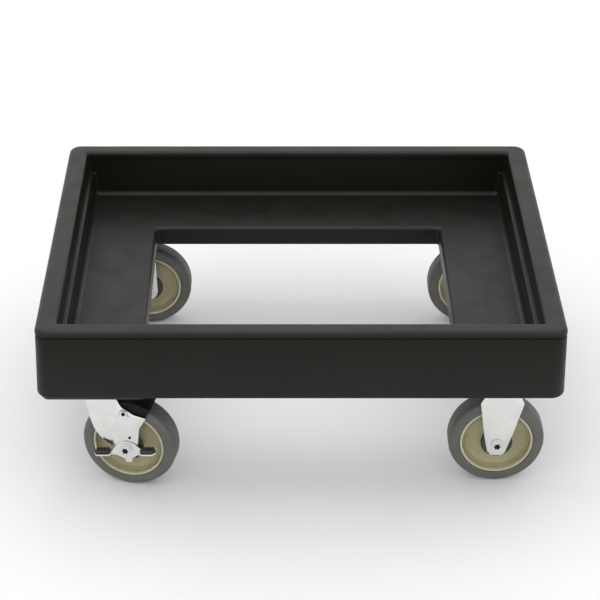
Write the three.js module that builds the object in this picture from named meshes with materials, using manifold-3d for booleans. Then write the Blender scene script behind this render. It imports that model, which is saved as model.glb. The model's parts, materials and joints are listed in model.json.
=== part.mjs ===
// Moulded carrier dolly: a one-piece plastic deck with a recessed well and an open centre,
// carried by two rigid casters (+X end) and two swivel casters (-X end, the front one braked).
// Millimetres, +Z up, floor at Z = 0. X runs along the long side, -Y is the front.

import * as THREE from 'three';
import Module from 'manifold-3d';
import { mergeVertices } from 'three/addons/utils/BufferGeometryUtils.js';

const wasm = await Module();
wasm.setup();

// ---- driving dimensions -------------------------------------------------------------------

const GAP = 0.3;                // clearance between pieces that touch
const OVERRUN = 5;              // how far a cutter passes the face it opens

// deck
const DECK_LENGTH = 673;        // along X, at the rim
const DECK_WIDTH = 527;         // along Y, at the rim
const DECK_TOP = 262.4;
const SKIRT_BOTTOM = 163;
const SIDE_DRAFT = 2;           // each side face stands this much further out at the bottom
const DECK_CORNER = 17;         // plan radius of the outer corners
const RIM_OUTER_ROUND = 6;
const SKIRT_ROUND = 5;
const CORNER_STEPS = 4;         // facets in a quarter round, in plan
const EDGE_STEPS = 3;           // facets in a quarter round, in section

// well
const WELL_LENGTH = 618;        // along X, between the end walls at the rim
const WELL_WIDTH = 477.6;       // along Y
const WELL_FLOOR = 192.8;
const RIM_INNER_ROUND = 5;
const LEDGE_TOP = 229.7;        // shelf on the two end walls
const LEDGE_DEPTH = 5.3;
const LEDGE_ROUND = 2;
const UPPER_WALL_DRAFT = 1.2;
const LOWER_WALL_DRAFT = 1.8;
const FLOOR_FILLET = 6;
const WELL_CORNER = 4;
const LOWER_WELL_CORNER = 7;

// centre opening and underside
const OPENING_LENGTH = 408.3;
const OPENING_WIDTH = 268.4;
const OPENING_CORNER = 4;
const OPENING_ROUND = 4.5;
const UNDERSIDE = 166.3;        // underside inside the skirt
const SKIRT_WIDTH = 24;
const PAD_LENGTH = 136;         // raised corner pads that carry the casters
const PAD_WIDTH = 104;
const PAD_X = 264;
const PAD_Y = 207;
const PAD_ROUND = 8;
const PAD_EDGE_ROUND = 2;
const SWIVEL_PAD_DROP = 5;    // how far the pads stand below the skirt
const RIGID_PAD_DROP = 3;

// casters
const SWIVEL_X = -258;          // centres of the mounting plates
const RIGID_X = 260.3;
const CASTER_Y = 201.2;
const WHEEL_RADIUS = 63.5;
const AXLE_HEIGHT = WHEEL_RADIUS;
const SWIVEL_LEAD = 35.5;       // from the swivel axis back to the axle
const FRONT_LEFT_YAW = 0.225;   // radians the braked caster is turned, towards the front
const PLATE_LENGTH = 95;
const PLATE_WIDTH = 67;
const PLATE_THICKNESS = 3;
const PLATE_CORNER = 8;
const BOLT_SPACING_X = 73;
const BOLT_SPACING_Y = 44.5;
const BOLT_SHANK = 3.6;
const BOLT_HOLE = 4;
const BOLT_HEAD = 6;
const BOLT_HEAD_HEIGHT = 4.5;
const BOLT_HOLE_DEPTH = 24;
const BOLT_LENGTH = 22;
const BOLT_NECK = 1;            // how far the shank reaches into its head

// fork
const FORK_HALF_WIDTH = 22.5;
const FORK_THICKNESS = 3;
const FORK_BEND = 7;
const FORK_FOOT = [             // [half width, height] up the leg's chamfered foot
  [8.1, 46.5],
  [12, 51],
  [13.8, 58],
];
const LEG_BASE = 58;            // height at which the foot ends
const RIGID_LEG_LEAN = 6;       // the rigid leg's centre line leans this far by its top
const RIGID_LEG = [             // [half width, height] from the foot up to the shoulder
  [20.2, 84],
  [23.9, 103],
  [28.6, 127],
  [23.3, 138],
];
const RIGID_NECK_HALF = 23.3;
const SWIVEL_CROWN_TOP = 147;
const SWIVEL_LEG_LEAD_SIDE = [  // [from the swivel axis, height], from the crown down
  [-23, SWIVEL_CROWN_TOP],
  [-21, 135],
  [-17, 119],
  [-13, 101],
  [-8, 86],
  [-1, 76],
  [11, 66],
];
const SWIVEL_LEG_TRAIL_SIDE = [ // the same, from the foot up to the crown
  [48.6, 74],
  [47.5, 109],
  [38, 122],
  [25, 133],
  [22, SWIVEL_CROWN_TOP],
];
const BRAKED_LEG_TRAIL_SIDE = [ // broader, as this fork carries the brake
  [51.5, 76],
  [53, 95],
  [63, 113],
  [46, 116.5],
  [30, 126],
  [23, 138],
  [22, SWIVEL_CROWN_TOP],
];
const CHANNEL_REACH = 70;       // the bent channel is this long each way before it is trimmed
const CROWN_RADIUS = 30;
const AXLE_HOLE = 5.3;

// axle and wheel
const AXLE_RADIUS = 5;
const AXLE_HEX = 8;             // corner radius of the bolt head and nut
const AXLE_HEAD_HEIGHT = 5;
const AXLE_NUT_HEIGHT = 6.5;
const AXLE_END = 3;             // thread that shows beyond the nut
const SLEEVE_RADIUS = 7.7;
const SLEEVE_HALF = FORK_HALF_WIDTH - FORK_THICKNESS - GAP;
const HUB_BORE = 8;
const HUB_RADIUS = 15;
const HUB_HALF = 15.5;
const CORE_RADIUS = 48.3;
const CORE_RIM_INNER = 43;
const CORE_RIM_HALF = 15.5;
const CORE_BEVEL = 1.5;
const WEB_HALF = 3;
const TYRE_HALF = 16;
const TYRE_SHOULDER = [         // [below the tread's top, in from the side] round the shoulder
  [6.5, 0],
  [4, 0.5],
  [1.8, 2],
  [0.5, 4.5],
  [0, 7],
];
const GUARD_RADIUS = 21;
const GUARD_HEIGHT = 5;
const GUARD_THICKNESS = 1.2;
const GUARD_ROUND = 2;
const TREAD_FACETS = 32;
const CORE_FACETS = 26;
const SLEEVE_FACETS = 14;
const HOLE_FACETS = 8;

// swivel bearing
const BALL_CIRCLE = 23;
const BALL_RADIUS = 2.35;
const RACE_INNER = 17;
const RACE_OUTER = 29;
const KINGPIN_RADIUS = 6;
const KINGPIN_HEAD = 11;
const KINGPIN_HEAD_HEIGHT = 5;
const KINGPIN_BEVEL = 2;
const KINGPIN_INSET = 0.5;      // below the top of the mounting plate
const RACE_FACETS = 20;
const BALL_SIDES = 6;             // facets in the ball ring's section

// brake
const PEDAL_HALF = 43;
const PEDAL_THICKNESS = 2.2;
const PEDAL_HOLE = 5.8;
const PEDAL_ROCK = THREE.MathUtils.degToRad(9); // at rest the pedal's inboard end is raised by this
const PEDAL_EDGE = [            // [from the axle, above the axle], from the tab round to the arch
  [4, -21],
  [5.5, -14],
  [16, -9.5],
  [40, -5.2],
  [PEDAL_HALF, 1.3],
  [19, -0.7],
  [11, 8],
  [4, 11.5],
];
const SHELF_TOP = -0.7;
const SHELF_LENGTH = 24;
const SHELF_DEPTH = 13;
const SHELF_OVERLAP = 0.5;      // how far a shelf runs into the pedal's plate
const PAD_BLOCK_LENGTH = 18;
const PAD_BLOCK_DEPTH = 10;
const PAD_BLOCK_HEIGHT = 5;
const PAD_BLOCK_BEVEL = 1;
const SHOE_CLEARANCE = 3.2;
const SHOE_THICKNESS = 2.5;
const SHOE_HALF_WIDTH = 14;
const SHOE_START = THREE.MathUtils.degToRad(68);
const SHOE_END = THREE.MathUtils.degToRad(106);
const SHOE_STEPS = 8;
const SHOE_ARM_X = -19;         // from the axle, towards the swivel axis
const SHOE_ARM_THICKNESS = 3;

// ---- materials ----------------------------------------------------------------------------

const plastic = () => new THREE.MeshStandardMaterial({ color: 0x3b3935, roughness: 0.55, metalness: 0 });
const zinc = () => new THREE.MeshStandardMaterial({ color: 0xd6d8d4, roughness: 0.25, metalness: 1 });
const darkSteel = () => new THREE.MeshStandardMaterial({ color: 0x6b6d70, roughness: 0.4, metalness: 1 });
const tyreRubber = () => new THREE.MeshStandardMaterial({ color: 0x62635e, roughness: 0.7, metalness: 0 });
const corePlastic = () => new THREE.MeshStandardMaterial({ color: 0xaaa57c, roughness: 0.4, metalness: 0 });
const padRubber = () => new THREE.MeshStandardMaterial({ color: 0x24241f, roughness: 0.85, metalness: 0 });

// ---- solids -------------------------------------------------------------------------------

// A manifold solid from the outline of a three.js geometry.
function solid(geometry) {
  const bare = new THREE.BufferGeometry();
  bare.setAttribute('position', geometry.getAttribute('position'));
  bare.setIndex(geometry.getIndex());
  const merged = mergeVertices(bare, 1e-4);
  const mesh = new wasm.Mesh({
    numProp: 3,
    vertProperties: new Float32Array(merged.getAttribute('position').array),
    triVerts: new Uint32Array(merged.getIndex().array),
  });
  return new wasm.Manifold(mesh);
}

// The three.js geometry of a manifold solid.
function geometryOf(body) {
  const mesh = body.getMesh();
  const geometry = new THREE.BufferGeometry();
  geometry.setAttribute('position', new THREE.BufferAttribute(new Float32Array(mesh.vertProperties), 3));
  geometry.setIndex(new THREE.BufferAttribute(new Uint32Array(mesh.triVerts), 1));
  geometry.computeVertexNormals();
  return geometry;
}

// One ring of a rounded rectangle at height z, counter-clockwise seen from above.
function roundedRing(halfX, halfY, radius, z) {
  const ring = [];
  for (let corner = 0; corner < 4; corner += 1) {
    const signX = corner === 0 || corner === 3 ? 1 : -1;
    const signY = corner < 2 ? 1 : -1;
    for (let step = 0; step <= CORNER_STEPS; step += 1) {
      const angle = (corner + step / CORNER_STEPS) * Math.PI / 2;
      const x = signX * (halfX - radius) + radius * Math.cos(angle);
      const y = signY * (halfY - radius) + radius * Math.sin(angle);
      ring.push([x, y, z]);
    }
  }
  return ring;
}

// A closed solid through rings of equal length, listed from the bottom up.
function loft(rings) {
  const count = rings[0].length;
  const index = [];
  for (let level = 0; level + 1 < rings.length; level += 1) {
    const low = level * count;
    const high = low + count;
    for (let i = 0; i < count; i += 1) {
      const next = (i + 1) % count;
      index.push(low + i, low + next, high + next);
      index.push(low + i, high + next, high + i);
    }
  }
  const top = (rings.length - 1) * count;
  for (let i = 1; i + 1 < count; i += 1) {
    index.push(0, i + 1, i);
    index.push(top, top + i, top + i + 1);
  }
  const geometry = new THREE.BufferGeometry();
  geometry.setAttribute('position', new THREE.Float32BufferAttribute(rings.flat(2), 3));
  geometry.setIndex(index);
  return geometry;
}

// A straight cylinder along Z between two heights.
function rod(radius, from, to, facets) {
  const geometry = new THREE.CylinderGeometry(radius, radius, to - from, facets);
  geometry.rotateX(Math.PI / 2);
  geometry.translate(0, 0, (from + to) / 2);
  return solid(geometry);
}

// A straight cylinder along Y between two stations.
function crossRod(radius, from, to, facets) {
  const geometry = new THREE.CylinderGeometry(radius, radius, to - from, facets);
  geometry.translate(0, (from + to) / 2, 0);
  return solid(geometry);
}

// A slab of constant thickness: an outline in the XZ plane, extruded along Y.
function slabAlongY(shape, fromY, toY) {
  const geometry = new THREE.ExtrudeGeometry(shape, { depth: toY - fromY, bevelEnabled: false });
  geometry.rotateX(Math.PI / 2);
  geometry.translate(0, toY, 0);
  return geometry;
}

// A closed ring or disc turned about the Y axis, its facets square to the floor.
function turned(profile, facets) {
  const points = profile.map(([radius, station]) => new THREE.Vector2(radius, station));
  return new THREE.LatheGeometry(points, facets, Math.PI / facets);
}

// The same, about the Z axis.
function turnedUp(profile, facets) {
  const geometry = turned(profile, facets);
  geometry.rotateX(Math.PI / 2);
  return geometry;
}

// A closed outline through [x, z] points.
function shapeOf(points) {
  return new THREE.Shape(points.map(([x, z]) => new THREE.Vector2(x, z)));
}

const apothemToCorner = (radius, facets) => radius / Math.cos(Math.PI / facets);

// ---- deck ---------------------------------------------------------------------------------

// Rings of a quarter-round edge: inset shrinks from the radius to nothing as the height rises.
function bottomRound(radius, bottom) {
  const levels = [];
  for (let step = 0; step <= EDGE_STEPS; step += 1) {
    const angle = (step / EDGE_STEPS) * Math.PI / 2;
    levels.push({ inset: radius * (1 - Math.sin(angle)), z: bottom + radius * (1 - Math.cos(angle)) });
  }
  return levels;
}

function topRound(radius, top) {
  return bottomRound(radius, 0).reverse().map(({ inset, z }) => ({ inset, z: top - z }));
}

function deckOuter() {
  const height = DECK_TOP - SKIRT_BOTTOM;
  const levels = [...bottomRound(SKIRT_ROUND, SKIRT_BOTTOM), ...topRound(RIM_OUTER_ROUND, DECK_TOP)];
  const rings = levels.map(({ inset, z }) => {
    const draft = SIDE_DRAFT * (DECK_TOP - z) / height;
    const grow = draft - inset;
    return roundedRing(DECK_LENGTH / 2 + grow, DECK_WIDTH / 2 + grow, DECK_CORNER - inset, z);
  });
  return solid(loft(rings));
}

function wellCutter() {
  const halfY = WELL_WIDTH / 2;
  const rimX = WELL_LENGTH / 2;
  const ledgeOuter = rimX - UPPER_WALL_DRAFT;
  const ledgeInner = ledgeOuter - LEDGE_DEPTH;
  const floorX = ledgeInner - LOWER_WALL_DRAFT;
  const rings = bottomRound(FLOOR_FILLET, WELL_FLOOR)
    .map(({ inset, z }) => roundedRing(floorX - inset, halfY - inset, LOWER_WELL_CORNER, z));
  rings.push(roundedRing(ledgeInner, halfY, LOWER_WELL_CORNER, LEDGE_TOP - LEDGE_ROUND));
  rings.push(roundedRing(ledgeInner + LEDGE_ROUND, halfY, WELL_CORNER, LEDGE_TOP));
  rings.push(roundedRing(ledgeOuter, halfY, WELL_CORNER, LEDGE_TOP + LEDGE_ROUND / 2));
  for (const { inset, z } of topRound(RIM_INNER_ROUND, 0).reverse()) {
    const flare = RIM_INNER_ROUND - inset;
    const height = DECK_TOP - RIM_INNER_ROUND - z;
    rings.push(roundedRing(rimX + flare, halfY + flare, WELL_CORNER + flare, height));
  }
  rings.push(roundedRing(rimX + RIM_INNER_ROUND, halfY + RIM_INNER_ROUND,
    WELL_CORNER + RIM_INNER_ROUND, DECK_TOP + OVERRUN));
  return solid(loft(rings));
}

function openingCutter() {
  const halfX = OPENING_LENGTH / 2;
  const halfY = OPENING_WIDTH / 2;
  const ring = (flare, z) => roundedRing(halfX + flare, halfY + flare, OPENING_CORNER + flare, z);
  return solid(loft([
    ring(0, SKIRT_BOTTOM - OVERRUN),
    ring(0, WELL_FLOOR - OPENING_ROUND),
    ring(OPENING_ROUND * 0.3, WELL_FLOOR - OPENING_ROUND * 0.3),
    ring(OPENING_ROUND, WELL_FLOOR),
    ring(OPENING_ROUND, WELL_FLOOR + OVERRUN),
  ]));
}

function undersideCutter() {
  const halfX = DECK_LENGTH / 2 - SKIRT_WIDTH;
  const halfY = DECK_WIDTH / 2 - SKIRT_WIDTH;
  return solid(loft([
    roundedRing(halfX, halfY, PAD_ROUND, SKIRT_BOTTOM - OVERRUN),
    roundedRing(halfX, halfY, PAD_ROUND, UNDERSIDE),
  ]));
}

function cornerPad(caster) {
  const bottom = SKIRT_BOTTOM - caster.padDrop;
  const levels = [...bottomRound(PAD_EDGE_ROUND, bottom), { inset: 0, z: UNDERSIDE + OVERRUN }];
  const halfX = PAD_LENGTH / 2;
  const halfY = PAD_WIDTH / 2;
  const rings = levels.map(({ inset, z }) => roundedRing(halfX - inset, halfY - inset, PAD_ROUND - inset, z));
  return solid(loft(rings)).translate([Math.sign(caster.x) * PAD_X, Math.sign(caster.y) * PAD_Y, 0]);
}

function boltPlaces(caster) {
  const places = [];
  for (const signX of [-1, 1]) {
    for (const signY of [-1, 1]) {
      places.push([caster.x + signX * BOLT_SPACING_X / 2, caster.y + signY * BOLT_SPACING_Y / 2]);
    }
  }
  return places;
}

function boltHole([x, y], bottom, top) {
  return rod(BOLT_HOLE, bottom - OVERRUN, top, HOLE_FACETS).translate([x, y, 0]);
}

function deckGeometry(casters) {
  let body = deckOuter().subtract(wellCutter()).subtract(undersideCutter());
  for (const caster of casters) {
    body = body.add(cornerPad(caster));
  }
  body = body.subtract(openingCutter());
  for (const caster of casters) {
    for (const place of boltPlaces(caster)) {
      body = body.subtract(boltHole(place, caster.plateTop, caster.plateTop + BOLT_HOLE_DEPTH));
    }
  }
  return geometryOf(body);
}

// ---- caster plate and bolts ---------------------------------------------------------------

function plateGeometry(caster) {
  const bottom = caster.plateTop - PLATE_THICKNESS;
  let body = solid(loft([
    roundedRing(PLATE_LENGTH / 2, PLATE_WIDTH / 2, PLATE_CORNER, bottom),
    roundedRing(PLATE_LENGTH / 2, PLATE_WIDTH / 2, PLATE_CORNER, caster.plateTop),
  ])).translate([caster.x, caster.y, 0]);
  for (const place of boltPlaces(caster)) {
    body = body.subtract(boltHole(place, bottom, caster.plateTop + OVERRUN));
  }
  if (caster.swivels) {
    const hole = rod(KINGPIN_RADIUS + GAP, bottom - OVERRUN, caster.plateTop + OVERRUN, SLEEVE_FACETS);
    body = body.subtract(hole.translate([caster.x, caster.y, 0]));
  }
  return geometryOf(body);
}

function mountingBoltGeometry(caster) {
  const headTop = caster.plateTop - PLATE_THICKNESS - GAP;
  const head = rod(BOLT_HEAD, headTop - BOLT_HEAD_HEIGHT, headTop, 6);
  const shank = rod(BOLT_SHANK, headTop - BOLT_NECK, headTop + BOLT_LENGTH, HOLE_FACETS);
  return geometryOf(head.add(shank));
}

// ---- fork ---------------------------------------------------------------------------------

// Side outline of a leg: down its left edge, round the foot and up its right edge.
function legOutline(left, right, footX) {
  const footLeft = FORK_FOOT.map(([half, z]) => [footX - half, z]).reverse();
  const footRight = FORK_FOOT.map(([half, z]) => [footX + half, z]);
  const shape = shapeOf([...left, ...footLeft, ...footRight, ...right]);
  return solid(slabAlongY(shape, -FORK_HALF_WIDTH, FORK_HALF_WIDTH));
}

// The bent channel that both fork kinds are pressed from, open at the bottom.
function channel(top) {
  const outer = FORK_HALF_WIDTH;
  const inner = FORK_HALF_WIDTH - FORK_THICKNESS;
  const innerBend = FORK_BEND - FORK_THICKNESS;
  const bottom = FORK_FOOT[0][1] - OVERRUN;
  const section = new THREE.Shape();
  section.moveTo(-outer, bottom);
  section.lineTo(-inner, bottom);
  section.absarc(-inner + innerBend, top - FORK_BEND, innerBend, Math.PI, Math.PI / 2, true);
  section.absarc(inner - innerBend, top - FORK_BEND, innerBend, Math.PI / 2, 0, true);
  section.lineTo(inner, bottom);
  section.lineTo(outer, bottom);
  section.absarc(outer - FORK_BEND, top - FORK_BEND, FORK_BEND, 0, Math.PI / 2, false);
  section.absarc(-outer + FORK_BEND, top - FORK_BEND, FORK_BEND, Math.PI / 2, Math.PI, false);
  const length = { depth: 2 * CHANNEL_REACH, bevelEnabled: false, curveSegments: 3 };
  const geometry = new THREE.ExtrudeGeometry(section, length);
  geometry.rotateX(Math.PI / 2);
  geometry.rotateZ(Math.PI / 2);
  geometry.translate(-CHANNEL_REACH, 0, 0);
  return solid(geometry);
}

function axleHole(x) {
  return crossRod(AXLE_HOLE, -FORK_HALF_WIDTH - OVERRUN, FORK_HALF_WIDTH + OVERRUN, HOLE_FACETS)
    .translate([x, 0, AXLE_HEIGHT]);
}

// Rigid fork, axle at X = 0.
function rigidForkGeometry(top) {
  const lean = (z) => RIGID_LEG_LEAN * (z - LEG_BASE) / (top - LEG_BASE);
  const edge = [...RIGID_LEG, [RIGID_NECK_HALF, top]];
  const left = edge.map(([half, z]) => [lean(z) - half, z]).reverse();
  const right = edge.map(([half, z]) => [lean(z) + half, z]);
  const body = channel(top).intersect(legOutline(left, right, 0));
  return geometryOf(body.subtract(axleHole(0)));
}

// Swivel fork, swivel axis at X = 0 and axle at X = SWIVEL_LEAD.
function swivelForkGeometry(braked) {
  const top = SWIVEL_CROWN_TOP;
  const trailSide = braked ? BRAKED_LEG_TRAIL_SIDE : SWIVEL_LEG_TRAIL_SIDE;
  const outline = legOutline(SWIVEL_LEG_LEAD_SIDE, trailSide, SWIVEL_LEAD);
  const crown = rod(CROWN_RADIUS, top - FORK_THICKNESS, top, RACE_FACETS);
  const pinHole = rod(KINGPIN_RADIUS + GAP, top - 2 * OVERRUN, top + OVERRUN, SLEEVE_FACETS);
  const body = channel(top).intersect(outline).add(crown);
  return geometryOf(body.subtract(pinHole).subtract(axleHole(SWIVEL_LEAD)));
}

// ---- swivel bearing -----------------------------------------------------------------------

function upperRaceGeometry(plateBottom) {
  const top = plateBottom - GAP;
  const bottom = SWIVEL_CROWN_TOP + 2 * BALL_RADIUS + 2 * GAP;
  return turnedUp([
    [RACE_INNER, bottom],
    [RACE_OUTER, bottom],
    [RACE_OUTER, top],
    [RACE_INNER, top],
    [RACE_INNER, bottom],
  ], RACE_FACETS);
}

function ballRingGeometry() {
  const centre = SWIVEL_CROWN_TOP + GAP + BALL_RADIUS;
  const profile = [];
  for (let side = 0; side <= BALL_SIDES; side += 1) {
    const angle = (side % BALL_SIDES) * 2 * Math.PI / BALL_SIDES;
    profile.push([BALL_CIRCLE + BALL_RADIUS * Math.cos(angle), centre + BALL_RADIUS * Math.sin(angle)]);
  }
  return turnedUp(profile, RACE_FACETS);
}

function kingpinGeometry(plateTop) {
  const headTop = SWIVEL_CROWN_TOP - FORK_THICKNESS - GAP;
  return turnedUp([
    [0, headTop - KINGPIN_HEAD_HEIGHT],
    [KINGPIN_HEAD - KINGPIN_BEVEL, headTop - KINGPIN_HEAD_HEIGHT],
    [KINGPIN_HEAD, headTop - KINGPIN_HEAD_HEIGHT + KINGPIN_BEVEL],
    [KINGPIN_HEAD, headTop],
    [KINGPIN_RADIUS, headTop],
    [KINGPIN_RADIUS, plateTop - KINGPIN_INSET],
    [0, plateTop - KINGPIN_INSET],
  ], SLEEVE_FACETS);
}

// ---- wheel --------------------------------------------------------------------------------

function mirroredProfile(half) {
  const other = half.map(([radius, station]) => [radius, -station]).reverse();
  return [...half, ...other, half[0]];
}

function coreGeometry() {
  return turned(mirroredProfile([
    [HUB_BORE, HUB_HALF],
    [HUB_RADIUS - CORE_BEVEL, HUB_HALF],
    [HUB_RADIUS + CORE_BEVEL, WEB_HALF + CORE_BEVEL],
    [CORE_RIM_INNER - 3 * CORE_BEVEL, WEB_HALF],
    [CORE_RIM_INNER, CORE_RIM_HALF - CORE_BEVEL],
    [CORE_RIM_INNER + CORE_BEVEL, CORE_RIM_HALF],
    [CORE_RADIUS, CORE_RIM_HALF],
  ]).reverse(), CORE_FACETS);
}

function tyreGeometry() {
  const flatRadius = (radius) => apothemToCorner(radius, TREAD_FACETS);
  const shoulder = TYRE_SHOULDER.map(([below, inset]) => (
    [flatRadius(WHEEL_RADIUS - below), TYRE_HALF - inset]
  ));
  return turned(mirroredProfile([
    [flatRadius(CORE_RADIUS + GAP), TYRE_HALF],
    ...shoulder,
  ]).reverse(), TREAD_FACETS);
}

function sleeveGeometry() {
  return turned([
    [AXLE_RADIUS + GAP, SLEEVE_HALF],
    [SLEEVE_RADIUS, SLEEVE_HALF],
    [SLEEVE_RADIUS, -SLEEVE_HALF],
    [AXLE_RADIUS + GAP, -SLEEVE_HALF],
    [AXLE_RADIUS + GAP, SLEEVE_HALF],
  ].reverse(), SLEEVE_FACETS);
}

// Cup that keeps thread and string off the hub, on the wheel's outer side.
function threadGuardGeometry(side) {
  const face = SLEEVE_HALF;
  const back = face - GUARD_THICKNESS;
  const bore = SLEEVE_RADIUS + GAP;
  const profile = [
    [bore, back],
    [bore, face],
    [GUARD_RADIUS - GUARD_ROUND, face],
    [GUARD_RADIUS, face - GUARD_ROUND],
    [GUARD_RADIUS, face - GUARD_HEIGHT],
    [GUARD_RADIUS - GUARD_THICKNESS, face - GUARD_HEIGHT],
    [GUARD_RADIUS - GUARD_THICKNESS, back - GUARD_ROUND],
    [GUARD_RADIUS - GUARD_THICKNESS - GUARD_ROUND, back],
    [bore, back],
  ];
  const facing = side > 0 ? profile.reverse() : profile.map(([radius, station]) => [radius, -station]);
  return turned(facing, CORE_FACETS);
}

// Bolt whose head sits on the outer leg; `side` is -1 where that leg faces -Y.
function axleBoltGeometry(side, headGap) {
  const seat = side * (FORK_HALF_WIDTH + headGap);
  const headEnd = seat + side * AXLE_HEAD_HEIGHT;
  const tip = -side * (FORK_HALF_WIDTH + GAP + AXLE_NUT_HEIGHT + AXLE_END);
  const head = crossRod(AXLE_HEX, Math.min(seat, headEnd), Math.max(seat, headEnd), 6);
  const shaft = crossRod(AXLE_RADIUS, Math.min(seat + side, tip), Math.max(seat + side, tip), HOLE_FACETS);
  return geometryOf(head.add(shaft));
}

function axleNutGeometry(side) {
  const seat = -side * (FORK_HALF_WIDTH + GAP);
  const end = seat - side * AXLE_NUT_HEIGHT;
  const nut = crossRod(AXLE_HEX, Math.min(seat, end), Math.max(seat, end), 6);
  const hole = crossRod(AXLE_RADIUS + GAP, Math.min(seat, end) - 1, Math.max(seat, end) + 1, HOLE_FACETS);
  return geometryOf(nut.subtract(hole));
}

// ---- brake --------------------------------------------------------------------------------

// Rocking side pedal on the axle, outside the front leg; origin on the axle.
function pedalGeometry() {
  const back = -(FORK_HALF_WIDTH + GAP);
  const front = back - PEDAL_THICKNESS;
  const mirrored = PEDAL_EDGE.map(([x, z]) => [-x, z]).reverse();
  let body = solid(slabAlongY(shapeOf([...PEDAL_EDGE, ...mirrored]), front, back));
  for (const side of [-1, 1]) {
    body = body.add(pedalShelf(side, front));
  }
  const hole = crossRod(PEDAL_HOLE, front - OVERRUN, back + OVERRUN, HOLE_FACETS);
  return geometryOf(body.subtract(hole));
}

// Shelf bent out from the pedal to carry a rubber pad.
function pedalShelf(side, front) {
  const geometry = new THREE.BoxGeometry(SHELF_LENGTH, SHELF_DEPTH, PEDAL_THICKNESS);
  const centreX = side * (PEDAL_HALF - SHELF_LENGTH / 2);
  const centreY = front - SHELF_DEPTH / 2 + SHELF_OVERLAP;
  geometry.translate(centreX, centreY, SHELF_TOP - PEDAL_THICKNESS / 2);
  return solid(geometry);
}

function brakePadGeometry(side) {
  const halfX = PAD_BLOCK_LENGTH / 2;
  const halfY = PAD_BLOCK_DEPTH / 2;
  const bottom = SHELF_TOP + GAP;
  const top = bottom + PAD_BLOCK_HEIGHT;
  const geometry = loft([
    roundedRing(halfX, halfY, PAD_BLOCK_BEVEL, bottom),
    roundedRing(halfX, halfY, PAD_BLOCK_BEVEL, top - PAD_BLOCK_BEVEL),
    roundedRing(halfX - PAD_BLOCK_BEVEL, halfY - PAD_BLOCK_BEVEL, PAD_BLOCK_BEVEL / 2, top),
  ]);
  const pedalFront = -(FORK_HALF_WIDTH + GAP + PEDAL_THICKNESS);
  geometry.translate(side * (PEDAL_HALF - SHELF_LENGTH / 2), pedalFront - GAP - halfY, 0);
  return geometry;
}

// Points along an arc over the tread, from one end of the shoe to the other.
function shoeArc(radius) {
  const points = [];
  for (let step = 0; step <= SHOE_STEPS; step += 1) {
    const angle = SHOE_START + (SHOE_END - SHOE_START) * step / SHOE_STEPS;
    points.push([radius * Math.cos(angle), radius * Math.sin(angle)]);
  }
  return points;
}

// Curved shoe above the tread with an arm up to the crown; origin on the axle.
function shoeGeometry() {
  const under = WHEEL_RADIUS + SHOE_CLEARANCE;
  const outline = [...shoeArc(under), ...shoeArc(under + SHOE_THICKNESS).reverse()];
  const plate = solid(slabAlongY(shapeOf(outline), -SHOE_HALF_WIDTH, SHOE_HALF_WIDTH));
  const armTop = SWIVEL_CROWN_TOP - FORK_THICKNESS - GAP - AXLE_HEIGHT;
  const armBottom = under * Math.sin(SHOE_END) + SHOE_THICKNESS / 2;
  const arm = new THREE.BoxGeometry(SHOE_ARM_THICKNESS, SHOE_HALF_WIDTH, armTop - armBottom);
  arm.translate(SHOE_ARM_X, 0, (armTop + armBottom) / 2);
  return geometryOf(plate.add(solid(arm)));
}

// ---- assembly -----------------------------------------------------------------------------

function piece(name, geometry, material) {
  const mesh = new THREE.Mesh(geometry, material);
  mesh.name = name;
  return mesh;
}

function casterList() {
  const swivelTop = SKIRT_BOTTOM - SWIVEL_PAD_DROP - GAP;
  const rigidTop = SKIRT_BOTTOM - RIGID_PAD_DROP - GAP;
  const swivel = { x: SWIVEL_X, swivels: true, padDrop: SWIVEL_PAD_DROP, plateTop: swivelTop };
  const rigid = { x: RIGID_X, swivels: false, padDrop: RIGID_PAD_DROP, plateTop: rigidTop, yaw: 0 };
  return [
    { ...swivel, name: 'front_left', y: -CASTER_Y, outer: -1, yaw: FRONT_LEFT_YAW, braked: true },
    { ...swivel, name: 'rear_left', y: CASTER_Y, outer: 1, yaw: 0 },
    { ...rigid, name: 'front_right', y: -CASTER_Y, outer: -1 },
    { ...rigid, name: 'rear_right', y: CASTER_Y, outer: 1 },
  ];
}

function pedalGroup() {
  const group = new THREE.Group();
  group.rotation.y = -PEDAL_ROCK;
  group.add(piece('brake_pedal', pedalGeometry(), zinc()));
  group.add(piece('brake_pad_outboard', brakePadGeometry(-1), padRubber()));
  group.add(piece('brake_pad_inboard', brakePadGeometry(1), padRubber()));
  return group;
}

function wheelGroup(caster) {
  const headGap = caster.braked ? 2 * GAP + PEDAL_THICKNESS : GAP;
  const group = new THREE.Group();
  group.add(piece(`${caster.name}_wheel_core`, coreGeometry(), corePlastic()));
  group.add(piece(`${caster.name}_tyre`, tyreGeometry(), tyreRubber()));
  group.add(piece(`${caster.name}_thread_guard`, threadGuardGeometry(caster.outer), darkSteel()));
  group.add(piece(`${caster.name}_axle_sleeve`, sleeveGeometry(), darkSteel()));
  group.add(piece(`${caster.name}_axle_bolt`, axleBoltGeometry(caster.outer, headGap), darkSteel()));
  group.add(piece(`${caster.name}_axle_nut`, axleNutGeometry(caster.outer), zinc()));
  if (caster.braked) {
    group.add(pedalGroup());
    group.add(piece('brake_shoe', shoeGeometry(), darkSteel()));
  }
  return group;
}

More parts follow.
